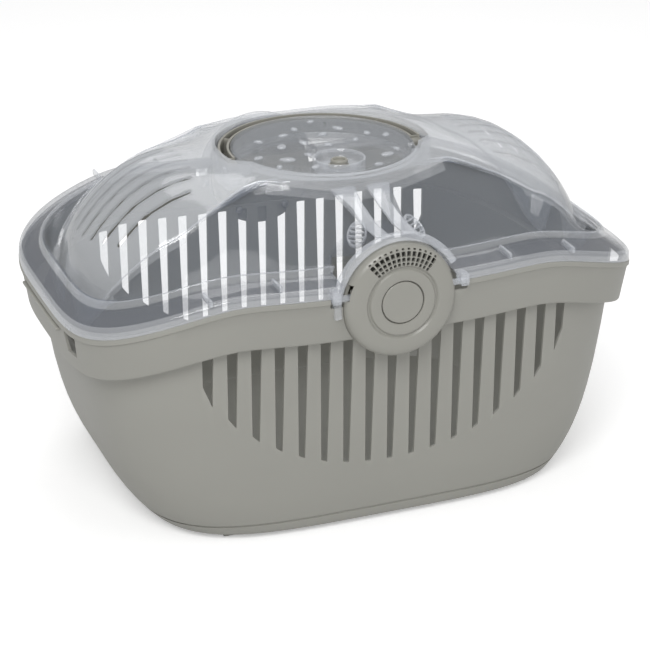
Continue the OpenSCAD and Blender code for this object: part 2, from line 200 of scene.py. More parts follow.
def crown_w(x):
    """Half width of the crown at x."""
    full = (CROWN_FRONT - 1) * max(0, 1 - (abs(x) / CROWN_A) ** CROWN_N) ** (1 / CROWN_N)
    return max(CROWN_LEAST_W, full * pinch(x))


def ridge_z(x):
    """Height of the crown's middle line, level and then falling through the lobe."""
    return CROWN_Z - LOBE_FALL * clip((abs(x) - LOBE_X) / (CROWN_A - LOBE_X)) ** 2.5


def round_over(x):
    """How far the crown's sides hang below its middle line."""
    return 3 + 29 * clip((abs(x) - 80) / 70)


def body_z(x, y):
    return ridge_z(x) - round_over(x) * clip(abs(y) / crown_w(x)) ** 2.5


def crown_xy(t):
    s = squircle(t, CROWN_N)
    x = CROWN_A * s * math.cos(t)
    b = CROWN_FRONT if math.sin(t) < 0 else CROWN_BACK
    return x, b * s * math.sin(t) * pinch(x)


def crown_edge_z(t):
    x, y = crown_xy(t)
    return (body_z(x, y) - 12 * math.exp(-(x / 45) ** 2)
            - 14 * clip((abs(x) - CROWN_A + 14) / 14))


def moat_share(t):
    """1 where the handle's moat runs, 0 across the front."""
    d = math.degrees(t) % 360
    u = min(360 - d, d - 180) if d > 180 else 0
    return 1 - clip((u - 13.5) / 9)


def moat_outer(t):
    return DISC_R + 3 + (MOAT_W - 3) * moat_share(t)


def lid_low(a, b, h, drop=0):
    """A ring of the flange, h above the seat."""
    ring = []
    for t in angles():
        x, y = outline(t, a, b)
        ring.append((x, y, SEAT_Z + wave(x) + h - drop))
    return ring


def window_point(t, s, inset=0, drop=0):
    """A point of the side windows: 0 is the curb and 1 the crown's edge."""
    px, py = outline(t, CURB_A - inset, CURB_B - inset)
    cx, cy = crown_xy(t)
    k = 1 - inset / CROWN_FRONT
    z = mix(SEAT_Z + wave(px) + CURB_H, crown_edge_z(t), s)
    sag = 20 * s * (1 - s) * math.sin(t) ** 2
    return mix(px, cx * k, s), mix(py, cy * k, s), z - sag - drop


def lid_window(s, inset=0, drop=0):
    return [window_point(t, s, inset, drop) for t in angles()]


def lid_body(s, inset=0, grow=0, drop=0):
    """A ring of the crown: 0 is its edge and 1 the moat."""
    ring = []
    for t in angles():
        cx, cy = crown_xy(t)
        k = 1 - inset / CROWN_FRONT
        r = moat_outer(t) + grow
        x, y = mix(cx * k, r * math.cos(t), s), mix(cy * k, r * math.sin(t), s)
        z = body_z(x, y)
        if s < 0.05:
            z = mix(crown_edge_z(t), z, s / 0.05)
        ring.append((x, y, z - drop))
    return ring


def round_ring(grow, z):
    return [((DISC_R + grow) * math.cos(t), (DISC_R + grow) * math.sin(t), z) for t in angles()]


def moat_ring(outer, grow, up):
    """A ring on the moat's inner or outer wall, up above its floor."""
    ring = []
    for t in angles():
        r = (moat_outer(t) if outer else DISC_R) + grow
        floor = DISC_Z - 1 - (MOAT_DEPTH - 1) * moat_share(t)
        ring.append((r * math.cos(t), r * math.sin(t), floor + up))
    return ring


# ---- making pieces ----
def deselect():
    if bpy.context.object and bpy.context.object.mode != "OBJECT":
        bpy.ops.object.mode_set(mode="OBJECT")
    bpy.ops.object.select_all(action="DESELECT")


def activate(obj):
    deselect()
    obj.select_set(True)
    bpy.context.view_layer.objects.active = obj


def named(name):
    obj = bpy.context.object
    obj.name = obj.data.name = name
    return obj


class Editing:
    """Edit mode on one piece, as a context."""

    def __init__(self, obj):
        self.obj = obj

    def __enter__(self):
        activate(self.obj)
        bpy.ops.object.mode_set(mode="EDIT")
        return self

    def __exit__(self, *error):
        bpy.ops.object.mode_set(mode="OBJECT")

    def mesh(self):
        shape = bmesh.from_edit_mesh(self.obj.data)
        shape.verts.ensure_lookup_table()
        return shape

    def place(self, points):
        """Puts the piece's first vertices at points in millimetres."""
        shape = self.mesh()
        for v, p in zip(shape.verts, points):
            v.co = Vector(p) * MM
        bmesh.update_edit_mesh(self.obj.data)

    def outwards(self):
        bpy.ops.mesh.select_all(action="SELECT")
        bpy.ops.mesh.normals_make_consistent(inside=False)


def loft(name, rings):
    """A skin through rings, closed at both ends: a filled circle, extruded once for each ring."""
    deselect()
    bpy.ops.mesh.primitive_circle_add(vertices=len(rings[0]), radius=1)
    obj = named(name)
    with Editing(obj) as edit:
        bpy.ops.mesh.select_mode(type="EDGE")
        bpy.ops.mesh.select_all(action="SELECT")
        bpy.ops.mesh.edge_face_add()
        bpy.ops.mesh.select_mode(type="EDGE")
        edit.place(rings[0])
        chain = list(range(len(rings[0])))
        for ring in rings[1:]:
            count = len(edit.mesh().verts)
            bpy.ops.mesh.extrude_region()
            shape = edit.mesh()
            shape.verts.index_update()
            after = []
            for i, p in zip(chain, ring):
                new = next(o for o in (e.other_vert(shape.verts[i]) for e in shape.verts[i].link_edges)
                           if o.index >= count)
                new.co = Vector(p) * MM
                after.append(new.index)
            chain = after
            bmesh.update_edit_mesh(obj.data)
        edit.outwards()
    return obj


def prism(name, corners, depth):
    """A flat outline, filled, and extruded along depth. Millimetres."""
    deselect()
    bpy.ops.mesh.primitive_circle_add(vertices=len(corners), radius=1, fill_type="NGON")
    obj = named(name)
    with Editing(obj) as edit:
        edit.place(corners)
        bpy.ops.mesh.extrude_region_move(TRANSFORM_OT_translate={"value": Vector(depth) * MM})
        edit.outwards()
    return obj


def block(name, low, high):
    (x0, y0, z0), (x1, y1, z1) = low, high
    return prism(name, [(x0, y0, z0), (x1, y0, z0), (x1, y1, z0), (x0, y1, z0)], (0, 0, z1 - z0))


def turned(name, profile, centre, along, steps=96, start=0.0, sweep=360.0):
    """Spins a closed profile of (radius, distance along the axis) points round a line."""
    axis = Vector(along).normalized()
    side = Vector((1, 0, 0)) if abs(axis.x) < 0.5 else Vector((0, 0, 1))
    other = axis.cross(side)
    a = math.radians(start)
    out = side * math.cos(a) + other * math.sin(a)
    deselect()
    bpy.ops.mesh.primitive_circle_add(vertices=len(profile), radius=1)
    obj = named(name)
    full = sweep >= 360
    with Editing(obj) as edit:
        edit.place([Vector(centre) + out * r + axis * d for r, d in profile])
        bpy.ops.mesh.select_all(action="SELECT")
        if not full:
            bpy.ops.mesh.edge_face_add()
        bpy.ops.mesh.spin(steps=steps, angle=math.radians(sweep), center=Vector(centre) * MM, axis=axis)
        bpy.ops.mesh.select_all(action="SELECT")
        bpy.ops.mesh.remove_doubles(threshold=1e-6)
        bpy.ops.mesh.delete_loose()
        edit.outwards()
    return obj


def join(name, parts):
    activate(parts[0])
    for part in parts:
        part.select_set(True)
    bpy.ops.object.join()
    return named(name)


def copy_of(obj, name):
    twin = obj.copy()
    twin.data = obj.data.copy()
    bpy.context.scene.collection.objects.link(twin)
    twin.name = twin.data.name = name
    return twin


def mirrored(obj, name, axis):
    """A copy on the other side of the middle, turned the right way out again."""
    twin = copy_of(obj, name)
    for v in twin.data.vertices:
        v.co[axis] = -v.co[axis]
    with Editing(twin) as edit:
        bpy.ops.mesh.select_all(action="SELECT")
        bpy.ops.mesh.flip_normals()
    return twin


def apply_modifier(obj, kind, **settings):
    activate(obj)
    modifier = obj.modifiers.new(kind.title(), kind)
    for key, value in settings.items():
        setattr(modifier, key, value)
    bpy.ops.object.modifier_apply(modifier=modifier.name)
    return obj


def cut(obj, *groups):
    """Takes groups of cutters away, one group at a time. Cutters in a group don't touch each other."""
    for group in groups:
        cutter = join("cutter", group)
        apply_modifier(obj, "BOOLEAN", operation="DIFFERENCE", solver="EXACT", object=cutter)
        bpy.data.objects.remove(cutter)
    return obj


def bevel(obj, width, segments=2, angle=30):
    return apply_modifier(obj, "BEVEL", width=width * MM, segments=segments, limit_method="ANGLE",
                          angle_limit=math.radians(angle))


def finish(obj, body, material, replaces=(), angle=32):
    """Smooths a piece, gives it its finish and lets it ride on its body."""
    activate(obj)
    bpy.ops.object.shade_smooth_by_angle(angle=math.radians(angle))
    obj.data.materials.clear()
    obj.data.materials.append(material)
    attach(obj, body)
    if replaces:
        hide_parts(*replaces)
    return obj


def paint(obj, names, choose):
    """Gives each face one of several finishes, chosen by the place of its middle in millimetres."""
    obj.data.materials.clear()
    for name in names:
        obj.data.materials.append(material(name))
    for face in obj.data.polygons:
        face.material_index = names.index(choose(face.center / MM))


def inside(outline_points, x, y):
    """Whether a point lies inside a closed outline."""
    hit = False
    for (x0, y0), (x1, y1) in zip(outline_points, outline_points[1:] + outline_points[:1]):
        if (y0 > y) != (y1 > y) and x < x0 + (x1 - x0) * (y - y0) / (y1 - y0):
            hit = not hit
    return hit


def beyond(x, y, a, b):
    """Whether a point lies outside the bowed plan outline with half sizes a and b."""
    return (abs(x) / a) ** PLAN_N + (abs(y) / b) ** PLAN_N > 1


def refined(node, name, width):
    """A welded, softened copy of a CAD node."""
    obj = copy_of(frame["nodes"][node], name)
    for key in list(obj.keys()):
        del obj[key]
    obj.parent = None
    with Editing(obj) as edit:
        bpy.ops.mesh.select_all(action="SELECT")
        bpy.ops.mesh.remove_doubles(threshold=2e-6)
        if width:
            bpy.ops.mesh.dissolve_limited(angle_limit=math.radians(1))
    if width:
        bevel(obj, width, 2, 40)
    return obj


# ---- materials ----
class Value:
    """A shader socket that can be used in sums and products."""

    def __init__(self, maker, socket):
        self.maker, self.socket = maker, socket

    def _math(self, operation, a, b):
        return self.maker.node("ShaderNodeMath", {"operation": operation}, {0: a, 1: b})

    def __add__(self, other):
        return self._math("ADD", self, other)

    def __sub__(self, other):
        return self._math("SUBTRACT", self, other)

    def __rsub__(self, other):
        return self._math("SUBTRACT", other, self)

    def __mul__(self, other):
        return self._math("MULTIPLY", self, other)

    def __pow__(self, other):
        return self._math("POWER", self, other)

    __radd__, __rmul__ = __add__, __mul__


class Finish:
    """One material and its nodes."""

    def __init__(self, name, **constants):
        self.material = bpy.data.materials.new(name)
        self.material.use_nodes = True
        self.tree = self.material.node_tree
        self.shader = self.tree.nodes["Principled BSDF"]
        for key, value in constants.items():
            self.shader.inputs[key.replace("_", " ")].default_value = value

    def node(self, kind, settings=None, inputs=None, output=0):
        made = self.tree.nodes.new(kind)
        for key, value in (settings or {}).items():
            if key == "stops":
                ramp = made.color_ramp
                while len(ramp.elements) < len(value):
                    ramp.elements.new(0.5)
                for element, (place, colour) in zip(ramp.elements, value):
                    element.position, element.color = place, colour
            else:
                setattr(made, key, value)
        for key, value in (inputs or {}).items():
            if isinstance(value, Value):
                self.tree.links.new(value.socket, made.inputs[key])
            else:
                made.inputs[key].default_value = value
        return Value(self, made.outputs[output])

    def place(self):
        return self.node("ShaderNodeTexCoord", output="Object")

    def noise(self, scale, detail=2.0, roughness=0.5, stretch=(1, 1, 1)):
        at = self.node("ShaderNodeMapping", inputs={"Vector": self.place(), "Scale": stretch})
        return self.node("ShaderNodeTexNoise", inputs={
            "Vector": at, "Scale": scale, "Detail": detail, "Roughness": roughness})

    def blend(self, share, a, b):
        return self.node("ShaderNodeMix", {"data_type": "RGBA"}, {0: share, 6: a, 7: b}, 2)

    def bump(self, height, distance, strength=1.0, normal=None):
        inputs = {"Height": height, "Distance": distance, "Strength": strength}
        if normal:
            inputs["Normal"] = normal
        return self.node("ShaderNodeBump", inputs=inputs)

    def feed(self, **links):
        for key, value in links.items():
            self.tree.links.new(value.socket, self.shader.inputs[key.replace("_", " ")])
        return self.material


def shade_of(colour, factor):
    return tuple(min(1.0, c * factor) for c in colour[:3]) + (1.0,)


def moulded_grey(name, colour, grain, gloss, painted_shade_below=None):
    """Satin moulded plastic: faint flow marks, fine grain and slightly worn edges.
    Below a given height the colour darkens: painted shade down in a channel."""
    finish_ = Finish(name, Specular_IOR_Level=0.5)
    flow = finish_.noise(9, 3, 0.55, (1, 1, 2.2))
    speck = finish_.noise(1500, 2, 0.6)
    worn = finish_.node("ShaderNodeNewGeometry", output="Pointiness")
    edge = finish_.node("ShaderNodeMapRange", {"clamp": True}, {
        "Value": worn, "From Min": 0.52, "From Max": 0.62, "To Min": 0.0, "To Max": 0.5})
    base = finish_.blend(flow, shade_of(colour, 0.955), shade_of(colour, 1.045))
    base = finish_.blend(edge, base, shade_of(colour, 1.22))
    if painted_shade_below:
        # Painted shade: below the given height the colour is blended towards a much darker grey.
        height = finish_.node("ShaderNodeSeparateXYZ", inputs={"Vector": finish_.place()}, output="Z")
        painted_channel_shade = finish_.node("ShaderNodeMapRange", {"clamp": True}, {
            "Value": height, "From Min": painted_shade_below, "From Max": painted_shade_below - 0.004, "To Min": 0.0, "To Max": 0.62})
        base = finish_.blend(painted_channel_shade, base, shade_of(colour, 0.3))
    rough = gloss + 0.10 * flow - 0.03 * speck
    dimple = finish_.bump(speck, grain, 0.35)
    ripple = finish_.bump(finish_.noise(26, 2), 0.0004, 0.25, dimple)
    return finish_.feed(Base_Color=base, Roughness=rough, Normal=ripple)


def clear_plastic(name, colour, veil, rim, gloss=0.08):
    """Thin clear plastic: a veil that thickens at grazing angles, with soft ripples."""
    finish_ = Finish(name, IOR=1.6, Specular_IOR_Level=1.0, Coat_Weight=0.8, Coat_Roughness=0.04)
    facing = finish_.node("ShaderNodeLayerWeight", inputs={"Blend": 0.5}, output="Facing")
    haze = finish_.noise(7, 3, 0.5)
    alpha = veil + 0.05 * (haze - 0.5) + rim * facing ** 3
    base = finish_.blend(haze, shade_of(colour, 0.96), shade_of(colour, 1.04))
    rough = gloss + 0.05 * haze
    ripple = finish_.bump(finish_.noise(16, 2), 0.0012, 0.3)
    return finish_.feed(Base_Color=base, Alpha=alpha, Roughness=rough, Normal=ripple)


def turned_steel(name, colour):
    """Bright drawn steel with fine lines along its length."""
    finish_ = Finish(name, Metallic=1.0)
    lines = finish_.noise(900, 2, 0.5, (0.05, 1, 1))
    base = finish_.blend(lines, shade_of(colour, 0.9), shade_of(colour, 1.06))
    return finish_.feed(Base_Color=base, Roughness=0.22 + 0.16 * lines,
                        Normal=finish_.bump(lines, 0.00003, 0.4))


MATERIALS = {}


def material(name):
    """A finish by name, made once from the scene's colours."""
    colours = bpy.context.scene.carrier_colours
    if name not in MATERIALS:
        MATERIALS[name] = {
            "tub_grey": lambda: moulded_grey(name, colours.tub, 0.00006, 0.40),
            "latch_grey": lambda: moulded_grey(name, colours.latch, 0.00005, 0.27),
            # The handle's colour darkens just under its top: painted shade inside its channel.
            "handle_grey": lambda: moulded_grey(name, colours.handle, 0.00005, 0.36, HANDLE_TOP * MM - 0.001),
            "plug_grey": lambda: moulded_grey(name, colours.handle, 0.00005, 0.36),
            # The crown's whiter tint and thicker veil are a painted reflection of the white surroundings on
            # its grazing lobes.
            "crown_clear": lambda: clear_plastic(name, colours.crown, colours.veil * 2.0, 0.32, 0.12),
            "window_clear": lambda: clear_plastic(name, colours.window, colours.veil, 0.22, 0.05),
            "flange_clear": lambda: clear_plastic(name, colours.flange, colours.veil * 2.2, 0.22, 0.05),
            "disc_clear": lambda: clear_plastic(name, colours.disc, colours.veil, 0.30, 0.05),
            "vault_clear": lambda: clear_plastic(name, colours.window, colours.veil * 0.25, 0.12, 0.05),
            # The bright rib finish is also a painted highlight where it lies along the lid's edges.
            "rib_and_highlight_clear": lambda: clear_plastic(name, colours.ribs, colours.veil * 1.7, 0.5, 0.05),
            "pin_steel": lambda: turned_steel(name, colours.steel),
        }[name]()
    return MATERIALS[name]


def colour_property(name, description, default):
    return bpy.props.FloatVectorProperty(name=name, description=description, default=default,
                                         subtype="COLOR", size=3, min=0, max=1)


class CarrierColours(bpy.types.PropertyGroup):
    tub: colour_property("Tub", "Colour of the moulded tub", (0.318, 0.315, 0.286))
    latch: colour_property("Latch", "Colour of the latch covers and buttons", (0.310, 0.306, 0.276))
    handle: colour_property("Handle", "Colour of the folding handle", (0.300, 0.292, 0.258))
    # Painted reflection: the crown's pale tint stands in for the white surroundings its lobes reflect.
    crown: colour_property("Crown", "Tint of the lid's top and lobes", (0.70, 0.73, 0.77))
    window: colour_property("Windows", "Tint of the lid's side windows and flange", (0.27, 0.31, 0.385))
    disc: colour_property("Disc", "Tint of the lid's centre disc", (0.50, 0.53, 0.57))
    flange: colour_property("Flange", "Tint of the lid's flat flange", (0.17, 0.19, 0.235))
    # The ribs' pale tint also paints the highlights along the crown's edge, the curb lip and the lid's outer
    # edge.
    ribs: colour_property("Ribs", "Tint of the lid's collars, ribs and curb", (0.78, 0.81, 0.86))
    steel: colour_property("Pins", "Colour of the pins, springs and screws", (0.60, 0.60, 0.62))
    veil: bpy.props.FloatProperty(name="Veil", description="How much clear plastic hides, seen square on",
                                  default=0.17, min=0, max=1, subtype="FACTOR")


class CarrierSizes(bpy.types.PropertyGroup):
    slot_corner: bpy.props.FloatProperty(
        name="Slot corner", description="Radius of the corners of the tub's slots",
        default=0.0012, min=0, max=0.003, unit="LENGTH", subtype="DISTANCE")
    groove_depth: bpy.props.FloatProperty(
        name="Groove depth", description="Depth of the ring groove in a latch cover",
        default=0.0017, min=0, max=0.002, unit="LENGTH", subtype="DISTANCE")
    drop_height: bpy.props.FloatProperty(
        name="Drop height", description="Height of the embossed drops on the lid's centre disc",
        default=0.0011, min=0, max=0.003, unit="LENGTH", subtype="DISTANCE")


class CarrierLight(bpy.types.PropertyGroup):
    key: bpy.props.FloatProperty(name="Key", description="Power of the main lamp",
                                 default=10.0, min=0, subtype="POWER", unit="POWER")
    fill: bpy.props.FloatProperty(name="Fill", description="Power of the fill lamp",
                                  default=4.5, min=0, subtype="POWER", unit="POWER")
    sky: bpy.props.FloatProperty(name="Sky", description="Strength of the even light from all sides",
                                 default=0.46, min=0, max=2, subtype="FACTOR")


def mm(metres):
    return metres / MM


# ---- tub ----
class CARRIER_OT_tub(bpy.types.Operator):
    """Grey tub with its slotted sides, stepped band, end windows and latch seats"""
    bl_idname = "carrier.tub"
    bl_label = "Tub"

    def outer_rings(self):
        low = [(FOOT_H, 1.6), (FOOT_H + 0.4, 0.7), (FOOT_H + 1.4, 0.1), (7, 0), (10, 0), (12.4, 0),
               (12.6, 0.8), (14, 0.8), (14.3, 0), (18, 0), (23, 0), (30, 0), (38, 0), (47, 0), (57, 0),
               (70, 0), (90, 0)]
        rings = [wall_ring(z, 0, inset) for z, inset in low]
        rings += [wall_ring(125, 0.2, 0), wall_ring(150, 0.7, 0), wall_ring(LEDGE_Z - 1.2, 1, 0),
                  wall_ring(LEDGE_Z - 0.3, 1, -0.3), wall_ring(LEDGE_Z, 1, -1)]
        for inset, z in ((2.2, 0.0), (1.2, 0.15), (0.5, 0.6), (0.1, 1.3), (-0.1, 2.2)):
            rings.append(band_ring(LEDGE_A - inset, LEDGE_B - inset, LEDGE_Z + z))
        for s in (0.3, 0.6, 0.88):
            rings.append(band_ring(mix(LEDGE_A, RIM_A - 0.7, s), mix(LEDGE_B, HALF_W - 0.7, s),
                                   mix(LEDGE_Z + 2, RIM_Z - 1, s)))
        # A fine bead runs just under the rim
        for inset, z in ((0.7, -4.4), (0.05, -3.9), (0, -2.4), (0, -0.9), (0.25, -0.3), (0.9, 0)):
            rings.append(band_ring(RIM_A - inset, HALF_W - inset, RIM_Z + z))
        return rings

    def inner_rings(self):
        rings = [band_ring(RIM_A - i, HALF_W - i, RIM_Z + z)
                 for i, z in ((3.6, 0), (4.1, -0.3), (4.2, -1), (4.2, -4), (3, -6))]
        rings += [band_ring(LEDGE_A - WALL, LEDGE_B - WALL, LEDGE_Z + WALL + 1),
                  wall_ring(LEDGE_Z + WALL, 1, WALL), wall_ring(140, 0.5, WALL), wall_ring(120, 0.2, WALL)]
        rings += [wall_ring(z, 0, WALL) for z in (90, 64, 46, 32, 22, 15, 10)]
        return rings + [wall_ring(FOOT_H + WALL + 0.5, 0, WALL + 1), wall_ring(FOOT_H + WALL, 0, WALL + 2.5)]

    def slots(self, corner):
        cutters = []
        for i in range(SLOT_COUNT):
            x = (i - (SLOT_COUNT - 1) / 2) * SLOT_PITCH
            top = LEDGE_Z - 1 + wave(x)
            l, r = x - SLOT_W / 2, x + SLOT_W / 2
            dl, dr = (SLOT_DEPTH * math.sqrt(max(0.02, 1 - (e / SLOT_SPAN) ** 2)) for e in (l, r))
            y = -WALL_B + 14
            corners = [(l, y, top), (r, y, top), (r - SLOT_TAPER * dr, y, top - dr),
                       (l + SLOT_TAPER * dl, y, top - dl)]
            cutter = prism("slot", corners, (0, -18, 0))
            with Editing(cutter) as edit:
                bpy.ops.mesh.select_mode(type="EDGE")
                bpy.ops.mesh.select_all(action="DESELECT")
                shape = edit.mesh()
                for e in shape.edges:
                    e.select_set(abs(e.verts[0].co.y - e.verts[1].co.y) > 0.01)
                bmesh.update_edit_mesh(cutter.data)
                bpy.ops.mesh.bevel(offset=corner, segments=4)
            cutters += [cutter, mirrored(cutter, "slot", 1)]
        return cutters

    def execute(self, context):
        corner = context.scene.carrier_sizes.slot_corner
        tub = loft("tub_shell", self.outer_rings() + self.inner_rings())
        seats, notches, windows = [], [], []
        for side in (-1, 1):
            y = side * (HALF_W + 20)
            seats.append(turned("seat", [(0, 0), (LATCH_R + 0.3, 0), (LATCH_R + 0.3, 34), (0, 34)],
                                  (0, y, LATCH_Z), (0, -side, 0)))
            notch = block("notch", (-LATCH_R - 11, y, SEAT_Z - 8),
                          (LATCH_R + 11, side * (HALF_W - 10), SEAT_Z + 22))
            notches.append(bevel(notch, 1.5, 3))
        for end in (-1, 1):
            for y in (-END_WINDOW_Y, END_WINDOW_Y):
                x = end * (HALF_L - 40)
                corners = [(x, y - 8, RIM_Z - 53), (x, y + 8, RIM_Z - 53),
                           (x, y + 11, RIM_Z - 35), (x, y - 11, RIM_Z - 35)]
                windows.append(prism("end_window", corners, (end * 50, 0, 0)))
        cut(tub, self.slots(corner), seats, notches, windows)
        finish(tub, "tub", material("tub_grey"), ["tub"])

        (foot_x, foot_y), (a, b) = FOOT_PLACE, FOOT_HALF
        feet = [bevel(block("foot", (x - a, y - b, 0), (x + a, y + b, FOOT_H + 0.4)), 1.2, 3)
                for x in (-foot_x, foot_x) for y in (-foot_y, foot_y)]
        finish(join("tub_feet", feet), "tub", material("tub_grey"), ["feet"])
        lip_z = RIM_Z + wave(RIM_A) - 8
        lips = []
        for end in (-1, 1):
            low, high = sorted((end * (RIM_A - 3.5), end * HALF_L))
            lips.append(bevel(block("lip", (low, -LIP_HALF, lip_z), (high, LIP_HALF, lip_z + 2.4)), 0.8, 3))
        finish(join("finger_lips", lips), "tub", material("tub_grey"))
        return {"FINISHED"}


# ---- lid ----
class CARRIER_OT_lid(bpy.types.Operator):
    """Clear lid: flange, curb, side windows, vented lobes, moat and centre disc"""
    bl_idname = "carrier.lid"
    bl_label = "Lid"

    def rings(self):
        t = LID_T
        inner = [round_ring(-t, DISC_Z - t), moat_ring(False, -t + 0.1, -t), moat_ring(True, t, -t)]
        inner += [lid_body(s, 1.2, t + 0.2, t) for s in (1, 0.9, 0.75, 0.6, 0.45, 0.3, 0.16, 0.06)]
        inner += [lid_window(s, 1.2, t - 0.4) for s in (1, 0.9, 0.75, 0.6, 0.45, 0.3, 0.15, 0)]
        inner += [lid_low(CURB_A + 3, CURB_B + 5, 9.5, t), lid_low(LID_A - 5, LID_B - 5, 8, t),
                  lid_low(LID_A - t, LID_B - t, 6.5, t + 0.4), lid_low(LID_A - t, LID_B - t, 0)]
        outer = [lid_low(LID_A, LID_B, 0), lid_low(LID_A, LID_B, 5.2), lid_low(LID_A - 0.3, LID_B - 0.3, 6.5),
                 lid_low(LID_A - 1.1, LID_B - 1.1, 7.6), lid_low(LID_A - 2.5, LID_B - 2.5, 8.4),
                 lid_low(LID_A - 5, LID_B - 5, 8.8), lid_low(CURB_A + 5.4, CURB_B + 7.4, 9.6),
                 lid_low(CURB_A + 4.4, CURB_B + 6.4, 10.2)]
        # Raised lip along the curb
        outer += [lid_low(CURB_A + 3.6, CURB_B + 5.4, 14.6), lid_low(CURB_A + 3.1, CURB_B + 4.9, 15.2),
                  lid_low(CURB_A + 2.3, CURB_B + 4.1, 15.3), lid_low(CURB_A + 1.7, CURB_B + 3.4, 14.8),
                  lid_low(CURB_A + 1.1, CURB_B + 2.4, 13.2)]
        outer += [lid_window(s) for s in (0, 0.12, 0.25, 0.38, 0.5, 0.62, 0.74, 0.86, 0.94, 0.975)]
        outer += [self.crown_bead(s, up) for s, up in ((0.985, 0.5), (0.995, 1.1), (1.0, 1.3))]
        outer += [lid_body(s) for s in (0.02, 0.035, 0.06, 0.1, 0.16, 0.24, 0.33, 0.43, 0.53, 0.63, 0.73,
                                        0.83, 0.91, 0.97)]
        outer += [lid_body(1), moat_ring(True, -0.05, 0.8), moat_ring(True, -0.8, 0),
                  moat_ring(False, 0.8, 0), moat_ring(False, 0.05, 0.8),
                  round_ring(0, DISC_Z - 0.6), round_ring(-0.4, DISC_Z),
                  round_ring(-1.4, DISC_Z + 0.5), round_ring(-2.6, DISC_Z + 0.5), round_ring(-3.4, DISC_Z)]
        return inner + outer

    def crown_bead(self, s, up):
        return [(x, y, z + up) for x, y, z in lid_window(s)]

    def vents(self):
        cutters = []
        half_turn = [math.pi * k / 6 for k in range(7)]
        for i in range(VENT_COUNT):
            y = (i - (VENT_COUNT - 1) / 2) * VENT_PITCH
            x0, x1 = 118 + 0.004 * y * y, CROWN_A - 12 - 0.006 * y * y
            r = VENT_W / 2
            ends = [(x1 - r + r * math.sin(a), y - r * math.cos(a)) for a in half_turn]
            ends += [(x0 + r - r * math.sin(a), y + r * math.cos(a)) for a in half_turn]
            cutter = prism("vent", [(a, b, LEDGE_Z) for a, b in ends], (0, 0, 150))
            cutters += [cutter, mirrored(cutter, "vent", 0)]
        return cutters

    def slit(self, x, y, turn):
        a = math.radians(turn)
        along, across = Vector((math.cos(a), math.sin(a), 0)), Vector((-math.sin(a), math.cos(a), 0))
        middle = Vector((x, y, DISC_Z - 5))
        hexagon = ((-4, 0), (-2.6, -0.8), (2.6, -0.8), (4, 0), (2.6, 0.8), (-2.6, 0.8))
        return prism("slit", [middle + along * u + across * v for u, v in hexagon], (0, 0, 10))

    def drop(self, x, y, length, width, turn, height):
        """One embossed drop, blunt at one end and drawn out at the other."""
        dome = [(0, -0.6), (1, -0.6), (1, 0.1 * height), (0.9, 0.45 * height), (0.65, 0.8 * height),
                (0.3, 0.97 * height), (0, height)]
        drop = turned("drop", dome, (0, 0, 0), (0, 0, 1), 20)
        a = math.radians(turn)
        for v in drop.data.vertices:
            u, w = v.co.x / MM * length / 2, v.co.y / MM * width / 2
            w *= 1 - 0.45 * clip(u / length + 0.2)
            v.co.x = (x + u * math.cos(a) - w * math.sin(a)) * MM
            v.co.y = (y + u * math.sin(a) + w * math.cos(a)) * MM
            v.co.z += DISC_Z * MM
        return drop

    # Place, length, width and turn in degrees of each embossed drop
    DROPS = ((-60, -14, 9, 6, 20), (-47, 24, 8, 6, 140), (-33, 6, 12, 8, 60), (-22, 32, 9, 6, 10),
             (-8, 44, 8, 6, 90), (-40, -26, 13, 9, 160), (-52, -40, 7, 5, 70), (10, 24, 9, 7, 30),
             (27, 34, 11, 7, 120), (45, 14, 8, 6, 80), (58, 4, 8, 6, 45), (40, -42, 12, 8, 15),
             (-13, 9, 10, 7, 100), (-25, -50, 9, 6, 35), (4, -3, 7, 5, 150), (30, 2, 8, 5, 60),
             (-20, -20, 8, 6, 120), (12, 58, 7, 5, 20), (52, -32, 7, 5, 110), (24, -62, 8, 5, 0))

    def execute(self, context):
        lid = loft("lid_shell", self.rings())
        rooms = []
        for side in (-1, 1):
            reach = HALF_W + 20 - VAULT_BACK
            r = COLLAR_IN + LID_T / 2
            rooms.append(turned("latch_room", [(0, 0), (r, 0), (r, reach), (0, reach)],
                                  (0, side * (HALF_W + 20), LATCH_Z), (0, -side, 0)))
        hole = turned("dish_hole", [(0, 0), (DISH_R + 0.8, 0), (DISH_R + 0.8, 20), (0, 20)],
                      (0, DISH_Y, DISC_Z - 6), (0, 0, 1), 64)
        slits = [self.slit(x, y, turn) for x, y, turn in ((-57, 4, 35), (51, -14, -20), (22, 50, 80))]
        cut(lid, self.vents(), rooms, [hole] + slits)
        finish(lid, "lid", material("window_clear"), ["lid"], 38)
        crown = [crown_xy(t) for t in angles()]

        def look(place):
            x, y, _ = place
            if math.hypot(x, y) < DISC_R - 0.5:
                return "disc_clear"
            # A thin band along the crown's edge takes the bright rib finish: a painted highlight.
            if inside(crown, x * 1.022, y * 1.022) != inside(crown, x * 0.985, y * 0.985):
                return "rib_and_highlight_clear"
            if inside(crown, x, y):
                return "crown_clear"
            # The curb's raised lip and the lid's outer edge take the bright rib finish too: painted
            # highlights.
            lip = beyond(x, y, CURB_A + 1, CURB_B + 2.3) and not beyond(x, y, CURB_A + 4.6, CURB_B + 6.6)
            edge = beyond(x, y, LID_A - 3, LID_B - 3)
            if lip or edge:
                return "rib_and_highlight_clear"
            return "flange_clear" if beyond(x, y, CURB_A + 4.6, CURB_B + 6.6) else "window_clear"

        paint(lid, ["window_clear", "crown_clear", "disc_clear", "rib_and_highlight_clear", "flange_clear"], look)

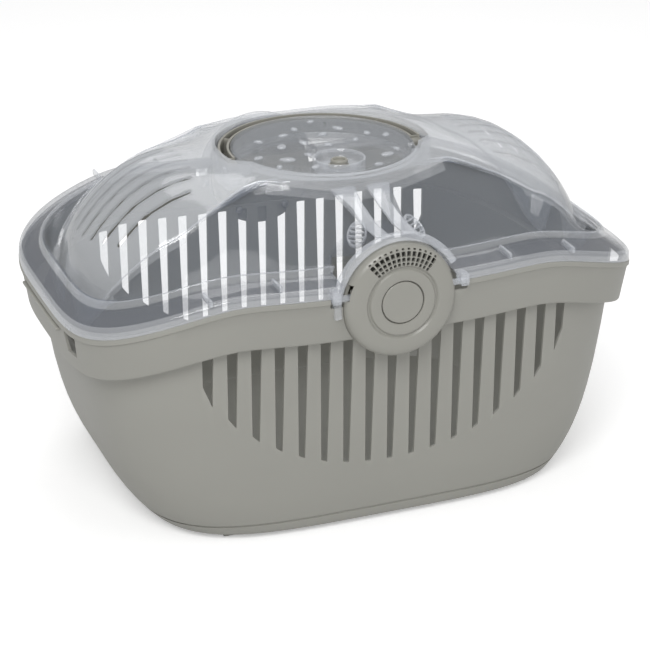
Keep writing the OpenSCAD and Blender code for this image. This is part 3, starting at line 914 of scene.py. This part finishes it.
        bowl = [(7.6, -9), (DISH_R + 1.6, -9), (DISH_R + 1.9, -8.4), (DISH_R + 1.9, 0.2), (DISH_R + 1.4, 0.9),
                (DISH_R + 0.3, 0.9), (DISH_R - 0.3, 0.2), (DISH_R - 0.9, -3), (DISH_R - 2.4, -5.6),
                (DISH_R - 5, -6.8), (7.6, -7)]
        dish = turned("disc_dish", bowl, (0, DISH_Y, DISC_Z), (0, 0, 1), 64)
        finish(dish, "lid", material("rib_and_highlight_clear"))
        height = mm(context.scene.carrier_sizes.drop_height)
        drops = join("disc_drops", [self.drop(*row, height) for row in self.DROPS])
        finish(drops, "lid", material("rib_and_highlight_clear"))
        stub = [(0, 0), (7.4, 0), (7.4, 2), (8.3, 2.1), (8.7, 2.5), (8.7, 3), (8.3, 3.4), (7.2, 3.5),
                (7.0, 7.2), (6.4, 8), (5.2, 8), (4.7, 7.3), (4.5, 6.2), (0, 6)]
        plug = turned("dish_stub", stub, (0, DISH_Y, PLUG_LOW.z), (0, 0, 1), 48)
        finish(plug, "lid", material("plug_grey"), ["port_plug"])
        return {"FINISHED"}


class CARRIER_OT_collars(bpy.types.Operator):
    """Clear collars over the latches, with their vaults, ears and straps to the crown"""
    bl_idname = "carrier.collars"
    bl_label = "Collars"

    def collar(self):
        low = math.degrees(math.asin((SEAT_Z + 0.6 - LATCH_Z) / COLLAR_OUT))
        front, d = LID_B, 7
        profile = [(COLLAR_IN, front - 0.8), (COLLAR_IN + 0.8, front), (COLLAR_OUT - 1.6, front),
                   (COLLAR_OUT - 0.5, front - 0.5), (COLLAR_OUT, front - 1.6), (COLLAR_OUT, front - d + 1),
                   (COLLAR_OUT - 1, front - d), (COLLAR_IN, front - d)]
        turn = (0, 0, LATCH_Z), (0, -1, 0), 72, low - 180, 180 - 2 * low
        arch = turned("collar", profile, *turn)
        tunnel = turned("tunnel", [(COLLAR_IN, front - d), (VAULT_R, front - d), (VAULT_R, VAULT_BACK),
                                   (COLLAR_IN, VAULT_BACK)], *turn)
        wall = []
        for k in range(25):
            a = math.radians(mix(24, 156, k / 24))
            wall.append((VAULT_R * math.cos(a), -VAULT_BACK, LATCH_Z + VAULT_R * math.sin(a)))
        back = prism("vault_wall", wall, (0, LID_T, 0))
        ears = []
        for s in (-1, 1):
            x0, x1 = sorted((s * (LATCH_R + 3.5), s * (LATCH_R + 10.5)))
            ear = block("ear", (x0, -PIN_Y - 3.6, SEAT_Z - 3.6), (x1, -PIN_Y + 7.4, SEAT_Z + 6.6))
            ears.append(bevel(ear, 1.2, 3))
        return [arch] + ears, [tunnel, back]

    def straps(self, crown):
        top = LATCH_Z + VAULT_R
        parts = []
        for s in (-1, 1):
            x = s * 11.5 - 5.5
            side = [(-LID_B + 8, top - 0.6), (-LID_B + 8, top + 1.2), (-VAULT_BACK - 8, top + 1.6),
                    (-(crown + VAULT_BACK) / 2, (top + DISC_Z) / 2 - 4.2), (-crown + 2, DISC_Z - 8.2),
                    (-crown + 2, DISC_Z - 11.5), (-(crown + VAULT_BACK) / 2, (top + DISC_Z) / 2 - 6.6),
                    (-VAULT_BACK - 8, top - 0.6)]
            strap = prism("strap", [(x, y, z) for y, z in side], (11, 0, 0))
            with Editing(strap) as edit:
                shape = edit.mesh()
                for v in shape.verts:
                    if v.co.y > (-crown - 4) * MM:
                        v.co.x += (8 if v.co.x * s > 11.5 * MM else -1) * MM * s
                bmesh.update_edit_mesh(strap.data)
            parts.append(bevel(strap, 0.7, 3, 25))
        return parts

    def pad(self, side):
        """Oval finger pad with a raised edge and three ridges, leaning on the vault's roof."""
        edge = turned("pad", [(6.2, -2.5), (7.6, -2.5), (7.6, 0.8), (7.2, 1.2), (6.6, 1.2), (6.2, 0.8)],
                      (0, 0, 0), (0, 0, 1), 40)
        for v in edge.data.vertices:
            v.co.y *= 1.5
        ridges = [bevel(block("ridge", (-6.2, y - 0.7, -2.5), (6.2, y + 0.7, 0.9)), 0.5, 2)
                  for y in (-6, -2, 2, 6)]
        pad = join("pad", [edge] + ridges)
        normal = Vector((0.38 * side, -0.55, 0.75)).normalized()
        turn = normal.to_track_quat("Z", "Y").to_matrix()
        for v in pad.data.vertices:
            v.co = turn @ v.co + Vector((24 * side, -133, LATCH_Z + 46.5)) * MM
        return pad

    def execute(self, context):
        for end, crown in (("front", CROWN_FRONT), ("rear", CROWN_BACK + 1)):
            solid, thin = self.collar()
            pads = [self.pad(-1), self.pad(1)] if end == "front" else []
            pieces = [(join("collar_half", solid + pads + self.straps(crown)), end + "_collar", "rib_and_highlight_clear"),
                      (join("vault_half", thin), end + "_vault", "vault_clear")]
            for piece, name, look in pieces:
                if end == "rear":
                    twin = mirrored(piece, name, 1)
                    bpy.data.objects.remove(piece)
                    piece = twin
                piece.name = piece.data.name = name
                finish(piece, "lid", material(look))
        brackets = []
        for x in BRACKETS_X:
            z = SEAT_Z + wave(x)
            for side in (-1, 1):
                y0, y1 = sorted((side * (LID_B - 4), side * (CURB_B + 9)))
                bracket = block("bracket", (x - 1.2, y0, z + 7.5), (x + 1.2, y1, z + 12.5))
                brackets.append(bevel(bracket, 0.7, 2))
        finish(join("curb_brackets", brackets), "lid", material("rib_and_highlight_clear"))
        return {"FINISHED"}


class CARRIER_OT_handle(bpy.types.Operator):
    """Folding bail handle in the moat, with its two pins"""
    bl_idname = "carrier.handle"
    bl_label = "Handle"

    def execute(self, context):
        handle = refined("handle", "bail_handle", 0.35)
        finish(handle, "handle", material("handle_grey"), ["handle"], 30)
        pins = refined("handle_pins", "bail_pins", 0.3)
        finish(pins, "lid", material("pin_steel"), ["handle_pins"])
        return {"FINISHED"}


class CARRIER_OT_latches(bpy.types.Operator):
    """Round latch covers with grille and groove, and their push buttons"""
    bl_idname = "carrier.latches"
    bl_label = "Latches"

    # Slots to a row, degrees between them, and the radius, length and width of each row's slots
    GRILLE_SLOTS = 13
    GRILLE_TURN = 6.5
    GRILLE = ((31.5, 2.4, 2.3), (35.0, 3.2, 2.8), (39.3, 4.0, 3.2), (42.8, 1.4, 2.2))

    def cover(self, groove):
        f, back = FACE_Y, SEAT_Y
        bore = 17.6
        profile = [(43.6, back), (LATCH_R, back), (LATCH_R, f - 8), (45.8, f - 6.4), (45.3, f - 4.9),
                   (44.5, f - 3.6), (43.3, f - 2.4), (41.8, f - 1.5), (40, f - 0.85), (37.6, f - 0.4),
                   (34.5, f - 0.12), (31, f),
                   (30, f - 0.1), (29.2, f - 0.45 * groove), (28.5, f - groove), (27.4, f - groove),
                   (26.8, f - 0.45 * groove), (26.2, f - 0.1), (25.4, f), (18.8, f), (18, f - 0.25),
                   (bore, f - 0.9), (bore, f - 2.4), (40, f - 3), (42.4, f - 5), (43.6, f - 8)]
        cover = turned("cover", profile, (0, 0, LATCH_Z), (0, -1, 0), 128)
        cutters = []
        for radius, length, width in self.GRILLE:
            for k in range(self.GRILLE_SLOTS):
                a = math.radians(90 - self.GRILLE_TURN * (self.GRILLE_SLOTS - 1) / 2 + self.GRILLE_TURN * k)
                out, across = Vector((math.cos(a), 0, math.sin(a))), Vector((-math.sin(a), 0, math.cos(a)))
                w = width / 2
                ring = []
                for j in range(8):
                    b = math.pi * (j + 0.5) / 4
                    reach = (length / 2 - 0.35) * (1 if math.cos(b) > 0 else -1)
                    ring.append(out * (radius + reach + 0.35 * math.cos(b) * 1.3)
                                + across * (w * math.sin(b) * 1.08))
                cutters.append(prism("grille", [(p.x, -f - 1, LATCH_Z + p.z) for p in ring], (0, 6, 0)))
        for s in (-1, 1):
            x0, x1 = sorted((s * (LATCH_R - 11), s * (LATCH_R + 3)))
            cutters.append(block("pin_seat", (x0, -PIN_Y - 2.6, SEAT_Z - 2.6), (x1, -PIN_Y + 3, SEAT_Z + 10)))
        cut(cover, cutters)
        return cover

    def button(self):
        f, back = FACE_Y - 0.3, -BUTTON_HIGH.y
        profile = [(0, f - 0.5), (9, f - 0.42), (14, f - 0.15), (15.6, f), (16.4, f - 0.15), (16.85, f - 0.7),
                   (16.9, f - 1.2), (16.9, f - 3.2), (20, f - 3.2), (20, f - 4), (6, f - 4), (6, back),
                   (0, back)]
        return turned("button", profile, (0, 0, LATCH_Z), (0, -1, 0), 96)

    def execute(self, context):
        groove = mm(context.scene.carrier_sizes.groove_depth)
        cover, button = self.cover(groove), self.button()
        for name, piece, part in (("latch_disc", cover, "latch_cover"), ("push_button", button, "button")):
            twins = (("front", copy_of(piece, "front_" + name)), ("rear", mirrored(piece, "rear_" + name, 1)))
            for side, twin in twins:
                node = f"{side}_{part}"
                finish(twin, owner(node), material("latch_grey"), [node])
            bpy.data.objects.remove(piece)
        return {"FINISHED"}


class CARRIER_OT_fittings(bpy.types.Operator):
    """Catches, backplates, springs, screws and lid pins inside the two latches"""
    bl_idname = "carrier.fittings"
    bl_label = "Latch fittings"

    def execute(self, context):
        rows = [("catch", "latch_grey", "latch_plastic", 0.3),
                ("backplate", "latch_grey", "latch_plastic", 0.3),
                ("button_spring", "pin_steel", "pin_steel", 0),
                ("latch_screws", "pin_steel", "pin_steel", 0.2),
                ("lid_pins", "rib_and_highlight_clear", "clear_plastic", 0.3)]
        for side in ("front", "rear"):
            for part, look, slot, width in rows:
                node = f"{side}_{part}"
                piece = refined(node, node + "_detail", width)
                finish(piece, owner(node), material(look), [node])
        return {"FINISHED"}


class CARRIER_OT_stage(bpy.types.Operator):
    """Camera, lamps, even sky and a pale floor"""
    bl_idname = "carrier.stage"
    bl_label = "Stage"

    # Millimetres on the sensor, and shares of the picture's width
    SENSOR, LENS = 36, 119.2
    SHIFT = 0.0042, -0.0656
    # Metres, and a unit vector from the target to the camera
    TARGET = 0, 0, 0.150
    DISTANCE = 1.8
    LINE_OF_SIGHT = -0.3384, -0.8604, 0.3809

    def lamp(self, name, place, target, size, power):
        data = bpy.data.lights.new(name, "AREA")
        data.shape, data.size, data.energy = "DISK", size, power
        obj = bpy.data.objects.new(name, data)
        bpy.context.scene.collection.objects.link(obj)
        obj.location = place
        obj.rotation_euler = (Vector(target) - Vector(place)).to_track_quat("-Z", "Y").to_euler()

    def execute(self, context):
        scene, light = context.scene, context.scene.carrier_light
        data = bpy.data.cameras.new("camera")
        data.sensor_width, data.lens = self.SENSOR, self.LENS
        data.shift_x, data.shift_y = self.SHIFT
        camera = bpy.data.objects.new("camera", data)
        scene.collection.objects.link(camera)
        target = Vector(self.TARGET)
        camera.location = target + self.DISTANCE * Vector(self.LINE_OF_SIGHT)
        camera.rotation_euler = (target - camera.location).to_track_quat("-Z", "Y").to_euler()
        scene.camera = camera

        self.lamp("key", (-0.9, -1.5, 1.9), (0, 0, 0.12), 1.3, light.key * 3)
        self.lamp("fill", (1.6, -1.2, 1.0), (0, 0, 0.15), 1.4, light.fill)
        self.lamp("top", (0.2, 0.7, 1.9), (0, 0, 0.2), 1.4, light.fill * 2)

        world = bpy.data.worlds.new("sky")
        scene.world = world
        world.use_nodes = True
        tree = world.node_tree
        path = tree.nodes.new("ShaderNodeLightPath")
        ground = tree.nodes["Background"]
        ground.inputs["Color"].default_value = (1, 1, 1, 1)
        seen = tree.nodes.new("ShaderNodeMath")
        seen.operation, seen.use_clamp = "ADD", True
        tree.links.new(path.outputs["Is Camera Ray"], seen.inputs[0])
        tree.links.new(path.outputs["Is Transmission Ray"], seen.inputs[1])
        glow = tree.nodes.new("ShaderNodeMapRange")
        tree.links.new(seen.outputs[0], glow.inputs["Value"])
        glow.inputs["To Min"].default_value = light.sky
        glow.inputs["To Max"].default_value = 1.0
        tree.links.new(glow.outputs[0], ground.inputs["Strength"])

        deselect()
        bpy.ops.mesh.primitive_plane_add(size=6)
        floor = named("floor")
        with Editing(floor):
            bpy.ops.mesh.subdivide(number_cuts=3)
        pale = Finish("pale_floor", Base_Color=(0.86, 0.86, 0.86, 1), Roughness=0.9,
                      Emission_Color=(1, 1, 1, 1))
        ray = pale.node("ShaderNodeLightPath", output="Is Camera Ray")
        pale.feed(Emission_Strength=ray * 0.36)
        floor.data.materials.append(pale.material)
        scene.view_settings.view_transform = "Standard"
        return {"FINISHED"}


class CARRIER_PT_panel(bpy.types.Panel):
    """Colours, sizes and light of the carrier, and a button for each group of pieces"""
    bl_idname = "CARRIER_PT_panel"
    bl_label = "Small pet carrier"
    bl_space_type = "VIEW_3D"
    bl_region_type = "UI"
    bl_category = "Carrier"

    def draw(self, context):
        for name in GROUPS:
            group, box = getattr(context.scene, name), self.layout.box()
            for key in group.bl_rna.properties.keys():
                if key not in ("rna_type", "name"):
                    box.prop(group, key)
        for operator in OPERATORS:
            self.layout.operator(operator.bl_idname)


OPERATORS = (CARRIER_OT_stage, CARRIER_OT_tub, CARRIER_OT_lid, CARRIER_OT_collars, CARRIER_OT_handle,
             CARRIER_OT_latches, CARRIER_OT_fittings)
GROUPS = {"carrier_colours": CarrierColours, "carrier_sizes": CarrierSizes, "carrier_light": CarrierLight}


def register():
    for cls in (*GROUPS.values(), *OPERATORS, CARRIER_PT_panel):
        bpy.utils.register_class(cls)
    for key, cls in GROUPS.items():
        setattr(bpy.types.Scene, key, bpy.props.PointerProperty(type=cls))


def unregister():
    for key in GROUPS:
        delattr(bpy.types.Scene, key)
    for cls in (CARRIER_PT_panel, *reversed(OPERATORS), *GROUPS.values()):
        bpy.utils.unregister_class(cls)


def corners(box):
    return [list(map(float, corner)) for corner in box]


def main():
    register()
    for operator in OPERATORS:
        group, name = operator.bl_idname.split(".")
        getattr(getattr(bpy.ops, group), name)()


if __name__ == "__main__":
    main()
